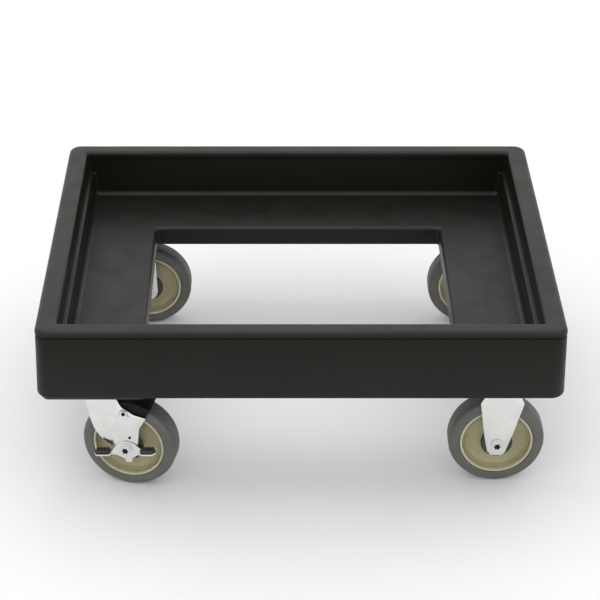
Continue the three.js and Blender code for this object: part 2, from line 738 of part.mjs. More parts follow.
function casterGroup(caster) {
  const group = new THREE.Group();
  group.position.set(caster.x, caster.y, 0);
  group.rotation.z = -caster.yaw;
  const wheel = wheelGroup(caster);
  wheel.position.set(caster.swivels ? SWIVEL_LEAD : 0, 0, AXLE_HEIGHT);
  group.add(wheel);
  const plateBottom = caster.plateTop - PLATE_THICKNESS;
  if (caster.swivels) {
    group.add(piece(`${caster.name}_fork`, swivelForkGeometry(caster.braked), zinc()));
    group.add(piece(`${caster.name}_upper_race`, upperRaceGeometry(plateBottom), zinc()));
    group.add(piece(`${caster.name}_ball_ring`, ballRingGeometry(), darkSteel()));
    group.add(piece(`${caster.name}_kingpin`, kingpinGeometry(caster.plateTop), darkSteel()));
  } else {
    group.add(piece(`${caster.name}_fork`, rigidForkGeometry(plateBottom - GAP), zinc()));
  }
  return group;
}

const dolly = new THREE.Group();
const casters = casterList();
dolly.add(piece('deck', deckGeometry(casters), plastic()));
for (const caster of casters) {
  dolly.add(piece(`${caster.name}_top_plate`, plateGeometry(caster), zinc()));
  dolly.add(casterGroup(caster));
  boltPlaces(caster).forEach(([x, y], number) => {
    const name = `${caster.name}_mounting_bolt_${number + 1}`;
    const bolt = piece(name, mountingBoltGeometry(caster), darkSteel());
    bolt.position.set(x, y, 0);
    dolly.add(bolt);
  });
}

export default dolly;
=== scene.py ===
"""Looks for the moulded carrier dolly: its deck, four casters and foot brake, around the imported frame."""

import json
import math

import bmesh
import bpy
from mathutils import Matrix, Vector

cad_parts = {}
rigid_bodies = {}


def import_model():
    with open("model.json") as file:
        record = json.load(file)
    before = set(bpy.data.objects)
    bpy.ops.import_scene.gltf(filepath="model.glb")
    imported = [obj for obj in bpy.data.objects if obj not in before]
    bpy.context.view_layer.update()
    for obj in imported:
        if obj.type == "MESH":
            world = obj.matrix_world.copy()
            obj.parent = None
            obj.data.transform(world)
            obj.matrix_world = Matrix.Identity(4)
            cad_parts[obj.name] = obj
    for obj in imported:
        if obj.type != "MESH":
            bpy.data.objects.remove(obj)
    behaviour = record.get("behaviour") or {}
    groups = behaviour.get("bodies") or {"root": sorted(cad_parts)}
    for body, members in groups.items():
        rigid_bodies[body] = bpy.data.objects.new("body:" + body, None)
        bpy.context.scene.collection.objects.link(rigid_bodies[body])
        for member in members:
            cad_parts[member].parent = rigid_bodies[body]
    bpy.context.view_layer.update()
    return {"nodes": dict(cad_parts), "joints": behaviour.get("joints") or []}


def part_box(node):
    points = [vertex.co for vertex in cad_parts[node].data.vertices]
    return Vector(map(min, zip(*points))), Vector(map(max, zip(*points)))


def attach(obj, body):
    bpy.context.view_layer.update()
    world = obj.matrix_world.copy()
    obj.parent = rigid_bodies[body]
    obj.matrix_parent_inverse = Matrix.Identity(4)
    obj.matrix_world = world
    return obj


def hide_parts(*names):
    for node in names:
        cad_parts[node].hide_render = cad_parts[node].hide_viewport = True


MM = 0.001

# Deck section. Sizes are in metres, except in the lists, which are in millimetres.
RIM_WIDTH_X = 27.5 * MM
RIM_WIDTH_Y = 24.7 * MM
RIM_INNER_ROUND = 5 * MM
RIM_OUTER_ROUND = 6 * MM
RIM_LIP_HEIGHT = 7.8 * MM
RIM_GROOVE = [(-1.5, 0.4), (-1.8, 1.6), (-1.2, 3.4), (-0.2, 5.4)]  # (outwards, below the lip)
WALL_HEIGHT = 69.6 * MM
LEDGE_DROP = 32.7 * MM
LEDGE_DEPTH = 5.3 * MM
LEDGE_ROUND = 2.2 * MM
UPPER_WALL_DRAFT = 1.2 * MM
LOWER_WALL_DRAFT = 1.8 * MM
FLOOR_FILLET = 7 * MM
FLOOR_THICKNESS = 26.5 * MM
OPENING_HALF_X = 204.15 * MM
OPENING_HALF_Y = 134.2 * MM
OPENING_ROUND = 5.5 * MM
SIDE_DRAFT = 2 * MM
SKIRT_HEIGHT = 99.4 * MM
SKIRT_ROUND = 5 * MM
SKIRT_WIDTH = 22 * MM
SKIRT_EDGE = 1 * MM
DECK_CORNER = 17 * MM
WELL_CORNER = 4 * MM
LOWER_WELL_CORNER = 8 * MM
OPENING_CORNER = 4 * MM
PAD_PLACE = (264 * MM, 207 * MM)
PAD_SIZE = (136 * MM, 104 * MM)
PAD_CORNER = 9 * MM
PAD_PROFILE = [(2.5, 0.0), (1.2, 0.3), (0.4, 1.1), (0.0, 2.5), (-0.6, 14)]  # (inwards, above the pad's face)
CORNER_STEPS = 12
ROUND_STEPS = 6

# Wheels.
GAP = 0.3 * MM
TURN_STEPS = 96
WHEEL_RADIUS = 63.5 * MM
TYRE_HALF = 16 * MM
CORE_RADIUS = 48.3 * MM
CORE_RIM_HALF = 15.5 * MM
CORE_BORE = 8 * MM
RING_RADIUS = 44.6 * MM
RING_DEPTH = 2.6 * MM
HUB_RADIUS = 13 * MM
HUB_HALF = 15.5 * MM
GUARD_RADIUS = 21 * MM
GUARD_WALL = 1.2 * MM
GUARD_DEPTH = 5 * MM

# Forks. A leg's edge is a list of (place, height, corner radius) in millimetres.
FORK_HALF = 22.5 * MM
FORK_THICKNESS = 3 * MM
FORK_BEND = 7 * MM
FORK_EDGE_CURL = 1.2 * MM
CURL_POWER = 6
LEG_ROWS = 30
LEG_COLUMNS = 14
LEAST_ROW = 0.7 * MM
BEND_STEPS = 8
FORK_FOOT = [(8.1, 46.5, 1), (12, 51, 5), (13.8, 58, 6)]
RIGID_LEG = [(20.2, 84, 20), (23.9, 103, 12), (28.6, 127, 4), (23.3, 138, 3), (23.3, 160, 0)]
RIGID_LEG_LEAN = 6 * MM
SWIVEL_LEG_LEAD_SIDE = [(11, 66, 8), (-1, 76, 12), (-8, 86, 14), (-13, 101, 16), (-17, 119, 16), (-21, 135, 8),
                        (-23, 160, 0)]
SWIVEL_LEG_TRAIL_SIDE = [(48.6, 74, 6), (47.5, 109, 8), (38, 122, 8), (25, 133, 5), (22, 160, 0)]
BRAKED_LEG_TRAIL_SIDE = [(51.5, 76, 5), (53, 95, 12), (63, 113, 1.2), (46, 116.5, 12), (30, 126, 10),
                         (23, 138, 5), (22, 160, 0)]

# Swivel bearing. The crown's dish is a list of (radius, height, corner radius) in millimetres.
CROWN_DISH = [(7, 0, 0), (13, 0, 2), (16, -2.2, 2), (27, -2.2, 2), (29.8, 0, 0.8), (29.8, -3, 0.8),
              (26, -5.4, 2), (16, -5.4, 2), (12, -3, 2), (7, -3, 0)]
RACE_INNER = 17 * MM
RACE_OUTER = 28.6 * MM
BALL_COUNT = 24
KINGPIN_RADIUS = 6 * MM
KINGPIN_FACE = 8 * MM
KINGPIN_HEAD = 10.8 * MM

# Plates and fasteners.
PLATE_CORNER = 8 * MM
EDGE_BEVEL = 0.6 * MM
BOLT_BEVEL = 0.4 * MM
PIN_BEVEL = 0.3 * MM
AXLE_RADIUS = 4.9 * MM
AXLE_HEX = 7.6 * MM
AXLE_HEAD_HEIGHT = 5 * MM
AXLE_WASHER = (4 * MM, 8.6 * MM)
AXLE_WASHER_THICKNESS = 1.2 * MM
THREAD_START = 10 * MM
THREAD_SHOWN = 9 * MM
THREAD_PITCH = 1.5 * MM
THREAD_DEPTH = 0.5 * MM
THREAD_END_CHAMFER = 0.7 * MM
# A near-black star on the axle bolt's head is painted shade of its recess: its radii, how deep it sits and how
# far it stands proud.
SOCKET_SHADE_RADII = (5.6 * MM, 3.2 * MM)
SOCKET_SHADE_DEPTH = 1 * MM
SOCKET_SHADE_PROUD = 0.08 * MM
NUT_HEX = 7.8 * MM
NUT_HEIGHT = 6.5 * MM
MOUNT_HEX = 5.6 * MM
MOUNT_HEX_HEIGHT = 3.4 * MM
MOUNT_FLANGE = (0.5 * MM, 7.4 * MM)
MOUNT_FLANGE_HEIGHTS = (3.2 * MM, 4.4 * MM)

# Foot brake, measured from the axle. Lists and tuples of points are in millimetres.
PEDAL_HALF = 43 * MM
PEDAL_THICKNESS = 2.2 * MM
PEDAL_ROCK = math.radians(9)
PEDAL_BEVEL = 0.5 * MM
PEDAL_EDGE = [(4, -21, 1), (5.5, -14, 3), (16, -9.5, 6), (40, -5.2, 6), (43, 1.3, 0.8), (40, -0.7, 1),
              (20, -0.7, 2), (11, 8, 7), (0, 12, 10)]
SHELF_TOP = -0.7 * MM
SHELF_LENGTH = 24 * MM
SHELF_DEPTH = 13 * MM
SHELF_ROUND = 3 * MM
SHELF_OVERLAP = 1 * MM
FOOT_PAD_SIZE = (18 * MM, 10 * MM, 5 * MM)
FOOT_PAD_CORNER = 1.5 * MM
RIB_COUNT = 4
RIB_SHARE = 0.32                 # half of a rib's length, as a share of its spacing
RIB_INSET = 0.8 * MM
RIB_ROOT = 2 * MM
SHOE_CLEARANCE = 3.2 * MM
SHOE_SECTION = (18.3, 17.0, 23, 2.5)  # outer half width, inner half width, lip, thickness
SHOE_ARC = (62, 106)             # degrees about the axle
SHOE_STEPS = 20
SHOE_LIP_TAPER = 5
SHOE_ARM_HALF = (1.5 * MM, 7 * MM)
SHOE_ARM_CORNER = 0.5 * MM
SHOE_ARM_TOP = 77 * MM
SHOE_ARM_X = -19 * MM
HOOK_CENTRE = (-3, 54.5)
HOOK_RADII = (5.2, 4.4)
HOOK_ARC = (200, -30)            # degrees
HOOK_STEPS = 16
HOOK_STANDOFF = 1.9
HOOK_TAIL = (3, 0, -2.5)
WIRE_RADIUS = 0.9 * MM
WIRE_SIDES = 10
LEG_PINS = [(-3, 53, 2.6), (4.5, 17, 1.8)]  # (place, height, radius)
PIN_BORE = 0.2 * MM
PIN_HEIGHTS = (0.05 * MM, 0.9 * MM)

# The deck's specular levels, painted light and shade: (share of its height, level) on upright faces, and one on
# faces that look up.
# On upright faces the low band just under the rim lip is painted shadow, the high band near the bottom is a
# painted highlight, and the fall towards the top is painted shade; faces that look up get a painted sheen.
WALL_PAINTED_LIGHT = [(0.0, 0.20), (0.035, 0.42), (0.06, 0.24), (0.5, 0.20), (0.885, 0.15), (0.895, 0.03), (0.92, 0.03),
              (0.93, 0.2), (1.0, 0.25)]
TOP_PAINTED_SHEEN = 0.36

# Stage, and a camera at the angle of a standing viewer in front of the dolly.
FLOOR_SIZE = 12
LAMP_PLACE = (-0.4, 0.2, 2.6)
LAMP_TARGET = (0, 0, 0.2)
LAMP_SIZE = (2.0, 1.6)
LAMP_POWER = 10
WORLD_STRENGTH = 1.12
CAMERA_PLACE = (-0.0323, -2.3387, 1.5587)
CAMERA_PITCH = math.radians(30.92)
CAMERA_LENS = 117.22
CAMERA_SHIFT = (0.0408, -0.0058)

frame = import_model()
JOINTS = {joint["name"]: joint for joint in frame["joints"]}
DECK_LOW, DECK_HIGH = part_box("deck")
DECK_HALF_X = DECK_HIGH.x - SIDE_DRAFT
DECK_HALF_Y = DECK_HIGH.y - SIDE_DRAFT
BRAKED = "front_left"
ON_END = Matrix.Rotation(math.pi / 2, 4, "X")  # stands the axis of a turned mesh up along Z


# ---- outlines and meshes ------------------------------------------------------------------

def middle(node):
    low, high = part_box(node)
    return (low + high) / 2


def fillet(corners, closed=True, steps=5):
    """An outline with each (x, y, radius) corner rounded by an arc."""
    points = []
    count = len(corners)
    for i, (x, y, radius) in enumerate(corners):
        here = Vector((x, y))
        at_end = not closed and i in (0, count - 1)
        if radius <= 0 or at_end:
            points.append(tuple(here))
            continue
        before = Vector(corners[i - 1][:2]) - here
        after = Vector(corners[(i + 1) % count][:2]) - here
        half_angle = before.angle(after) / 2
        reach = min(radius / math.tan(half_angle), before.length * 0.49, after.length * 0.49)
        true_radius = reach * math.tan(half_angle)
        bisector = (before.normalized() + after.normalized()).normalized()
        centre = here + bisector * true_radius / math.sin(half_angle)
        start = here + before.normalized() * reach - centre
        sweep = start.angle_signed(here + after.normalized() * reach - centre)
        for step in range(steps + 1):
            turn = Matrix.Rotation(-sweep * step / steps, 2)
            points.append(tuple(centre + turn @ start))
    return points


def rounded_rectangle(half_x, half_y, radius, steps=CORNER_STEPS):
    """Points of a rounded rectangle about the origin, counter-clockwise."""
    points = []
    for corner in range(4):
        sign_x = 1 if corner in (0, 3) else -1
        sign_y = 1 if corner < 2 else -1
        for step in range(steps + 1):
            angle = (corner + step / steps) * math.pi / 2
            points.append((sign_x * (half_x - radius) + radius * math.cos(angle),
                           sign_y * (half_y - radius) + radius * math.sin(angle)))
    return points


def skin_rings(mesh, rings, close_path=False):
    """Quads between neighbouring closed rings of vertices."""
    count = len(rings[0])
    pairs = list(zip(rings, rings[1:]))
    if close_path:
        pairs.append((rings[-1], rings[0]))
    for low, high in pairs:
        for i in range(count):
            j = (i + 1) % count
            mesh.faces.new((low[i], low[j], high[j], high[i]))


def skin_solid(mesh, rings):
    """Quads between neighbouring rings, with the first and last ring filled."""
    skin_rings(mesh, rings)
    mesh.faces.new(rings[0])
    mesh.faces.new(rings[-1])


def turned(profile, closed=True, segments=TURN_STEPS):
    """A solid of revolution about Y from (radius, station) points."""
    mesh = bmesh.new()
    rings = []
    for radius, station in profile:
        ring = []
        for step in range(segments):
            angle = 2 * math.pi * step / segments
            ring.append(mesh.verts.new((radius * math.sin(angle), station, radius * math.cos(angle))))
        rings.append(ring)
    skin_rings(mesh, rings, close_path=closed)
    bmesh.ops.remove_doubles(mesh, verts=mesh.verts, dist=1e-7)
    return mesh


def slab(outline, low, high):
    """A flat plate: an outline in the XY plane between two heights."""
    mesh = bmesh.new()
    bottom = [mesh.verts.new((x, y, low)) for x, y in outline]
    top = [mesh.verts.new((x, y, high)) for x, y in outline]
    skin_rings(mesh, [bottom, top])
    mesh.faces.new(list(reversed(bottom)))
    mesh.faces.new(top)
    return mesh


def joined(*meshes):
    """One mesh holding all of the given ones."""
    result = bmesh.new()
    for part in meshes:
        holder = bpy.data.meshes.new("part")
        part.to_mesh(holder)
        part.free()
        result.from_mesh(holder)
        bpy.data.meshes.remove(holder)
    return result


def placed(mesh, matrix):
    bmesh.ops.transform(mesh, matrix=matrix, verts=mesh.verts)
    return mesh


def moved(mesh, x=0, y=0, z=0):
    return placed(mesh, Matrix.Translation((x, y, z)))


def piece(name, mesh, look, body, stands_for=(), bevel=0.0, sharp=35):
    """Turns a mesh into a finished piece that rides on a body."""
    bmesh.ops.recalc_face_normals(mesh, faces=mesh.faces)
    data = bpy.data.meshes.new(name)
    mesh.to_mesh(data)
    mesh.free()
    data.materials.append(look)
    data.shade_smooth()
    data.set_sharp_from_angle(angle=math.radians(sharp))
    thing = bpy.data.objects.new(name, data)
    bpy.context.scene.collection.objects.link(thing)
    if bevel:
        rounding = thing.modifiers.new("edges", "BEVEL")
        rounding.width = bevel
        rounding.segments = 3
        rounding.limit_method = "ANGLE"
        rounding.angle_limit = math.radians(sharp)
        rounding.harden_normals = True
    else:
        thing.modifiers.new("normals", "WEIGHTED_NORMAL").keep_sharp = True
    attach(thing, body)
    if stands_for:
        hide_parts(*stands_for)


def dress(node, look):
    """Gives a frame node that stays in view its material."""
    slots = frame["nodes"][node].data.materials
    slots.clear()
    slots.append(look)


# ---- materials ----------------------------------------------------------------------------

class Look:
    """A node material under construction."""

    def __init__(self, name, roughness=0.5, metallic=0.0):
        self.material = bpy.data.materials.new(name)
        self.material.use_nodes = True
        self.tree = self.material.node_tree
        self.shader = self.tree.nodes["Principled BSDF"]
        self.shader.inputs["Metallic"].default_value = metallic
        self.shader.inputs["Roughness"].default_value = roughness
        coordinates = self.tree.nodes.new("ShaderNodeTexCoord")
        self.place = coordinates.outputs["Object"]
        self.normal = coordinates.outputs["Normal"]

    def noise(self, scale, detail=3.0, stretch=(1, 1, 1), roughness=0.5):
        """Noise between 0 and 1 whose lumps are about 1 / scale metres across."""
        mapping = self.tree.nodes.new("ShaderNodeMapping")
        mapping.inputs["Scale"].default_value = stretch
        self.tree.links.new(self.place, mapping.inputs["Vector"])
        texture = self.tree.nodes.new("ShaderNodeTexNoise")
        texture.inputs["Scale"].default_value = scale
        texture.inputs["Detail"].default_value = detail
        texture.inputs["Roughness"].default_value = roughness
        self.tree.links.new(mapping.outputs["Vector"], texture.inputs["Vector"])
        return texture.outputs["Fac"]

    def ramp(self, value, stops):
        """A colour ramp; stops are (position, colour)."""
        node = self.tree.nodes.new("ShaderNodeValToRGB")
        elements = node.color_ramp.elements
        while len(elements) < len(stops):
            elements.new(0.5)
        for element, (position, colour) in zip(elements, stops):
            element.position = position
            element.color = (*colour, 1)
        self.tree.links.new(value, node.inputs["Fac"])
        return node.outputs["Color"]

    def levels(self, value, low, high, start=0.3, end=0.7):
        """Stretches a noise value into the range low to high."""
        node = self.tree.nodes.new("ShaderNodeMapRange")
        node.inputs["From Min"].default_value = start
        node.inputs["From Max"].default_value = end
        node.inputs["To Min"].default_value = low
        node.inputs["To Max"].default_value = high
        self.tree.links.new(value, node.inputs["Value"])
        return node.outputs["Result"]

    def mix(self, factor, first, second):
        node = self.tree.nodes.new("ShaderNodeMix")
        node.data_type = "RGBA"
        self.tree.links.new(factor, node.inputs["Factor"])
        self.tree.links.new(first, node.inputs["A"])
        self.tree.links.new(second, node.inputs["B"])
        return node.outputs["Result"]

    def bump(self, layers):
        """Stacks bumps; layers are (height value, depth in metres)."""
        normal = None
        for height, depth in layers:
            node = self.tree.nodes.new("ShaderNodeBump")
            node.inputs["Distance"].default_value = depth
            self.tree.links.new(height, node.inputs["Height"])
            if normal:
                self.tree.links.new(normal, node.inputs["Normal"])
            normal = node.outputs["Normal"]
        self.tree.links.new(normal, self.shader.inputs["Normal"])

    def colour(self, value):
        self.tree.links.new(value, self.shader.inputs["Base Color"])

    def gloss(self, value):
        self.tree.links.new(value, self.shader.inputs["Roughness"])

    def sheen(self, low, high, walls, level):
        """Specular level painted as light and shade: by height on upright faces, and constant on faces that
        look up.
        """
        split = self.tree.nodes.new("ShaderNodeSeparateXYZ")
        self.tree.links.new(self.place, split.inputs["Vector"])
        height = self.levels(split.outputs["Z"], 0.0, 1.0, low, high)
        upright = self.ramp(height, [(place, (amount,) * 3) for place, amount in walls])
        facing = self.tree.nodes.new("ShaderNodeSeparateXYZ")
        self.tree.links.new(self.normal, facing.inputs["Vector"])
        flat = self.ramp(facing.outputs["Z"], [(0.0, (level,) * 3), (1.0, (level,) * 3)])
        up = self.levels(facing.outputs["Z"], 0.0, 1.0, 0.2, 0.8)
        self.tree.links.new(self.mix(up, upright, flat), self.shader.inputs["Specular IOR Level"])


def deck_plastic():
    """Brown-black moulded polyethylene: faint mottle, orange peel and fine scuffs, with painted light and shade
    in its specular level.
    """
    look = Look("deck_plastic")
    mottle = look.ramp(look.noise(5, 4), [(0.3, (0.0072, 0.0062, 0.0044)), (0.7, (0.0096, 0.0084, 0.0062))])
    scuff = look.noise(14, 6, stretch=(1, 9, 9), roughness=0.7)
    pale = look.ramp(look.noise(40, 2), [(0.0, (0.015, 0.0135, 0.011)), (1.0, (0.022, 0.020, 0.017))])
    look.colour(look.mix(look.levels(scuff, 0.0, 0.35, 0.62, 0.78), mottle, pale))
    # Painted light and shade: a painted shadow under the rim lip, a painted highlight near the bottom and a
    # painted sheen on faces that look up.
    look.sheen(DECK_LOW.z, DECK_HIGH.z, WALL_PAINTED_LIGHT, TOP_PAINTED_SHEEN)
    look.gloss(look.levels(look.noise(30, 5), 0.36, 0.5))
    look.bump([(look.noise(9, 2), 0.5 * MM), (look.noise(260, 2), 0.05 * MM),
               (look.noise(1400, 2), 0.02 * MM)])
    return look.material


def bright_zinc(name="bright_zinc", shade=1.0, roughness=(0.16, 0.3)):
    """Pressed steel with bright zinc plating: faint draw lines and cloudy gloss."""
    look = Look(name, metallic=1.0)
    tint = [(0.3, (0.70 * shade, 0.71 * shade, 0.70 * shade)),
            (0.7, (0.78 * shade, 0.78 * shade, 0.76 * shade))]
    look.colour(look.ramp(look.noise(60, 4), tint))
    look.gloss(look.levels(look.noise(90, 5), *roughness))
    look.bump([(look.noise(25, 2), 0.15 * MM), (look.noise(300, 3, stretch=(1, 1, 0.12)), 0.01 * MM)])
    return look.material


def grey_rubber():
    """Non-marking grey tyre with a dusty, slightly scuffed tread."""
    look = Look("tyre_rubber")
    base = look.ramp(look.noise(35, 5), [(0.3, (0.082, 0.084, 0.076)), (0.7, (0.110, 0.112, 0.103))])
    dust = look.ramp(look.noise(400, 2), [(0.3, (0.115, 0.115, 0.105)), (0.7, (0.14, 0.14, 0.128))])
    look.colour(look.mix(look.levels(look.noise(120, 6), 0.0, 0.5, 0.5, 0.75), base, dust))
    look.gloss(look.levels(look.noise(70, 4), 0.5, 0.68))
    look.bump([(look.noise(220, 3), 0.04 * MM), (look.noise(1500, 2), 0.02 * MM)])
    return look.material


def olive_plastic():
    """Olive-cream moulded wheel core, semi-gloss with faint flow marks."""
    look = Look("core_plastic")
    look.colour(look.ramp(look.noise(28, 4), [(0.3, (0.29, 0.265, 0.135)), (0.7, (0.39, 0.36, 0.21))]))
    look.gloss(look.levels(look.noise(80, 4), 0.28, 0.42))
    look.bump([(look.noise(45, 2), 0.1 * MM), (look.noise(900, 2), 0.012 * MM)])
    return look.material


def ring_highlight_plastic():
    """Cream moulded ring around the core, smooth and lighter than the core: a painted highlight along the
    core's rim.
    """
    look = Look("ring_highlight")
    look.colour(look.ramp(look.noise(40, 4), [(0.3, (0.40, 0.375, 0.235)), (0.7, (0.50, 0.475, 0.32))]))
    look.gloss(look.levels(look.noise(80, 4), 0.25, 0.38))
    look.bump([(look.noise(60, 2), 0.08 * MM), (look.noise(900, 2), 0.01 * MM)])
    return look.material


def black_rubber():
    """Black foot-pad rubber, mottled worn grey."""
    look = Look("pad_rubber")
    look.colour(look.ramp(look.noise(150, 5), [(0.35, (0.022, 0.022, 0.019)), (0.75, (0.05, 0.05, 0.044))]))
    look.gloss(look.levels(look.noise(200, 3), 0.6, 0.8))
    look.bump([(look.noise(700, 3), 0.05 * MM)])
    return look.material


def pale_floor():
    """Matte off-white ground."""
    look = Look("pale_floor", roughness=0.7)
    look.colour(look.ramp(look.noise(3, 2), [(0.3, (0.86, 0.86, 0.86)), (0.7, (0.88, 0.88, 0.88))]))
    return look.material


PLASTIC = deck_plastic()
ZINC = bright_zinc()
STEEL = bright_zinc("dull_zinc", shade=0.72, roughness=(0.26, 0.42))
DARK_STEEL = bright_zinc("dark_steel", shade=0.1, roughness=(0.4, 0.6))
# Near-black steel of the shoe and the leg's pins, also used as painted shade: the star on each axle bolt's
# head, and in part the shoe's darkness under the deck.
BLUED_AND_SHADE = bright_zinc("blued_steel_and_shade", shade=0.025, roughness=(0.3, 0.5))
TYRE = grey_rubber()
CORE = olive_plastic()
RING_HIGHLIGHT = ring_highlight_plastic()
RUBBER = black_rubber()


# ---- deck ---------------------------------------------------------------------------------

def quarter(radius, steps=ROUND_STEPS):
    """(run, rise) pairs of a quarter round that starts level and ends upright."""
    pairs = []
    for step in range(steps + 1):
        angle = step / steps * math.pi / 2
        pairs.append((radius * math.sin(angle), radius * (1 - math.cos(angle))))
    return pairs


def deck_levels(top):
    """Rings of the deck's section, from the opening's lower edge round to it again."""
    floor = top - WALL_HEIGHT
    skirt = top - SKIRT_HEIGHT
    under = floor - FLOOR_THICKNESS
    rim_x, rim_y = DECK_HALF_X, DECK_HALF_Y
    well_x, well_y = rim_x - RIM_WIDTH_X, rim_y - RIM_WIDTH_Y
    ledge_outer = well_x - UPPER_WALL_DRAFT
    ledge_inner = ledge_outer - LEDGE_DEPTH
    floor_x = ledge_inner - LOWER_WALL_DRAFT
    levels = []

    def ring(half_x, half_y, corner, z):
        levels.append((half_x, half_y, corner, z))

    def opening_ring(out, z):
        ring(OPENING_HALF_X + out, OPENING_HALF_Y + out, OPENING_CORNER + out, z)

    for run, rise in reversed(quarter(OPENING_ROUND / 2, 3)):
        opening_ring(OPENING_ROUND / 2 - run, under + OPENING_ROUND / 2 - rise)
    levels.reverse()
    for run, rise in reversed(quarter(OPENING_ROUND)):
        opening_ring(OPENING_ROUND - run, floor - rise)
    for run, rise in quarter(FLOOR_FILLET):
        corner = LOWER_WELL_CORNER - (FLOOR_FILLET - run) / 2
        ring(floor_x - FLOOR_FILLET + run, well_y - FLOOR_FILLET + run, corner, floor + rise)
    for run, rise in reversed(quarter(LEDGE_ROUND, 3)):
        ring(ledge_inner + LEDGE_ROUND - run, well_y, LOWER_WELL_CORNER, top - LEDGE_DROP - rise)
    ring(ledge_outer - LEDGE_ROUND / 2, well_y, WELL_CORNER, top - LEDGE_DROP)
    ring(ledge_outer, well_y, WELL_CORNER, top - LEDGE_DROP + LEDGE_ROUND / 2)
    for run, rise in reversed(quarter(RIM_INNER_ROUND)):
        out = RIM_INNER_ROUND - run
        ring(well_x + out, well_y + out, WELL_CORNER + out, top - rise)
    for run, rise in quarter(RIM_OUTER_ROUND):
        out = run - RIM_OUTER_ROUND
        ring(rim_x + out, rim_y + out, DECK_CORNER + out, top - rise)
    ring(rim_x, rim_y, DECK_CORNER, top - RIM_LIP_HEIGHT)
    for out, drop in RIM_GROOVE:
        ring(rim_x + out * MM, rim_y + out * MM, DECK_CORNER + out * MM, top - RIM_LIP_HEIGHT - drop * MM)
    for run, rise in reversed(quarter(SKIRT_ROUND)):
        out = SIDE_DRAFT - SKIRT_ROUND + run
        ring(rim_x + out, rim_y + out, DECK_CORNER + out, skirt + rise)
    for inset, z in ((SKIRT_WIDTH, skirt), (SKIRT_WIDTH + SKIRT_EDGE, skirt + SKIRT_EDGE),
                     (SKIRT_WIDTH + 2 * SKIRT_EDGE, under)):
        ring(rim_x - inset, rim_y - inset, PAD_CORNER, z)
    return levels


def deck_shell():
    """The whole deck without its corner pads, as rings joined round the section."""
    mesh = bmesh.new()
    rings = []
    for half_x, half_y, corner, z in deck_levels(DECK_HIGH.z):
        rings.append([mesh.verts.new((x, y, z)) for x, y in rounded_rectangle(half_x, half_y, corner)])
    skin_rings(mesh, rings, close_path=True)
    return mesh


def corner_pad(caster):
    """Boss moulded under a corner, which the caster's plate sits on."""
    half_x, half_y = PAD_SIZE[0] / 2, PAD_SIZE[1] / 2
    mesh = bmesh.new()
    rings = []
    for inwards, above in PAD_PROFILE:
        inset = inwards * MM
        outline = rounded_rectangle(half_x - inset, half_y - inset, PAD_CORNER - max(inset, 0))
        height = caster.plate_top + GAP + above * MM
        rings.append([mesh.verts.new((x, y, height)) for x, y in outline])
    skin_solid(mesh, rings)
    return moved(mesh, math.copysign(PAD_PLACE[0], caster.plate.x), math.copysign(PAD_PLACE[1], caster.plate.y))


# ---- casters ------------------------------------------------------------------------------

class Caster:
    """Where one caster's pieces go, read from the frame."""

    def __init__(self, name, swivels, outer):
        self.name = name
        self.swivels = swivels
        self.outer = outer
        spin = JOINTS[f"{name}_wheel_spin"]
        self.axle = Vector(spin["pos_m"])
        self.wheel_body = spin["child"]
        self.fork_body = spin["parent"]
        self.plate = middle(f"{name}_top_plate")
        self.plate_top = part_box(f"{name}_top_plate")[1].z
        self.fork_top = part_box(f"{name}_fork")[1].z
        yaw = math.atan2(spin["axis"][0], spin["axis"][1])
        turn = Matrix.Rotation(-yaw, 4, "Z")
        self.wheel_frame = Matrix.Translation(self.axle) @ turn
        self.fork_frame = Matrix.Translation((self.plate.x, self.plate.y, 0)) @ turn
        self.lead = (self.axle - Vector((self.plate.x, self.plate.y, self.axle.z))).length

    def node(self, part):
        return f"{self.name}_{part}"


def both_sides(outline):
    """A wheel's half profile, continued with its mirror image."""
    return outline + [(radius, -station) for radius, station in reversed(outline) if station]


def tyre_mesh():
    """Solid tyre with flat sides and rounded shoulders."""
    return turned(both_sides(fillet([
        (CORE_RADIUS + GAP, TYRE_HALF - 1.5 * MM, 0),
        (CORE_RADIUS + 1 * MM, TYRE_HALF, 0.8 * MM),
        (WHEEL_RADIUS - 6 * MM, TYRE_HALF, 5 * MM),
        (WHEEL_RADIUS - 2 * MM, TYRE_HALF - 1.7 * MM, 4 * MM),
        (WHEEL_RADIUS, TYRE_HALF - 7 * MM, 8 * MM),
    ], closed=False)))


def core_mesh():
    """Dished wheel centre with a hub and a web."""
    return turned(both_sides(fillet([
        (CORE_BORE, HUB_HALF, 0),
        (HUB_RADIUS, HUB_HALF, 1 * MM),
        (15.5 * MM, 7 * MM, 2 * MM),
        (19 * MM, 6.5 * MM, 2 * MM),
        (26 * MM, 4.5 * MM, 4 * MM),
        (36 * MM, 4 * MM, 6 * MM),
        (41 * MM, 6.5 * MM, 5 * MM),
        (RING_RADIUS - GAP, CORE_RIM_HALF - RING_DEPTH, 1 * MM),
        (RING_RADIUS - GAP, 0, 0),
    ], closed=False)))


def ring_mesh():
    """Smooth ring around the wheel centre, flush with the tyre's faces."""
    return turned(both_sides(fillet([
        (RING_RADIUS, CORE_RIM_HALF - RING_DEPTH, 0),
        (RING_RADIUS + 0.8 * MM, CORE_RIM_HALF, 0.8 * MM),
        (CORE_RADIUS, CORE_RIM_HALF, 0.6 * MM),
        (CORE_RADIUS, 0, 0),
    ], closed=False)))


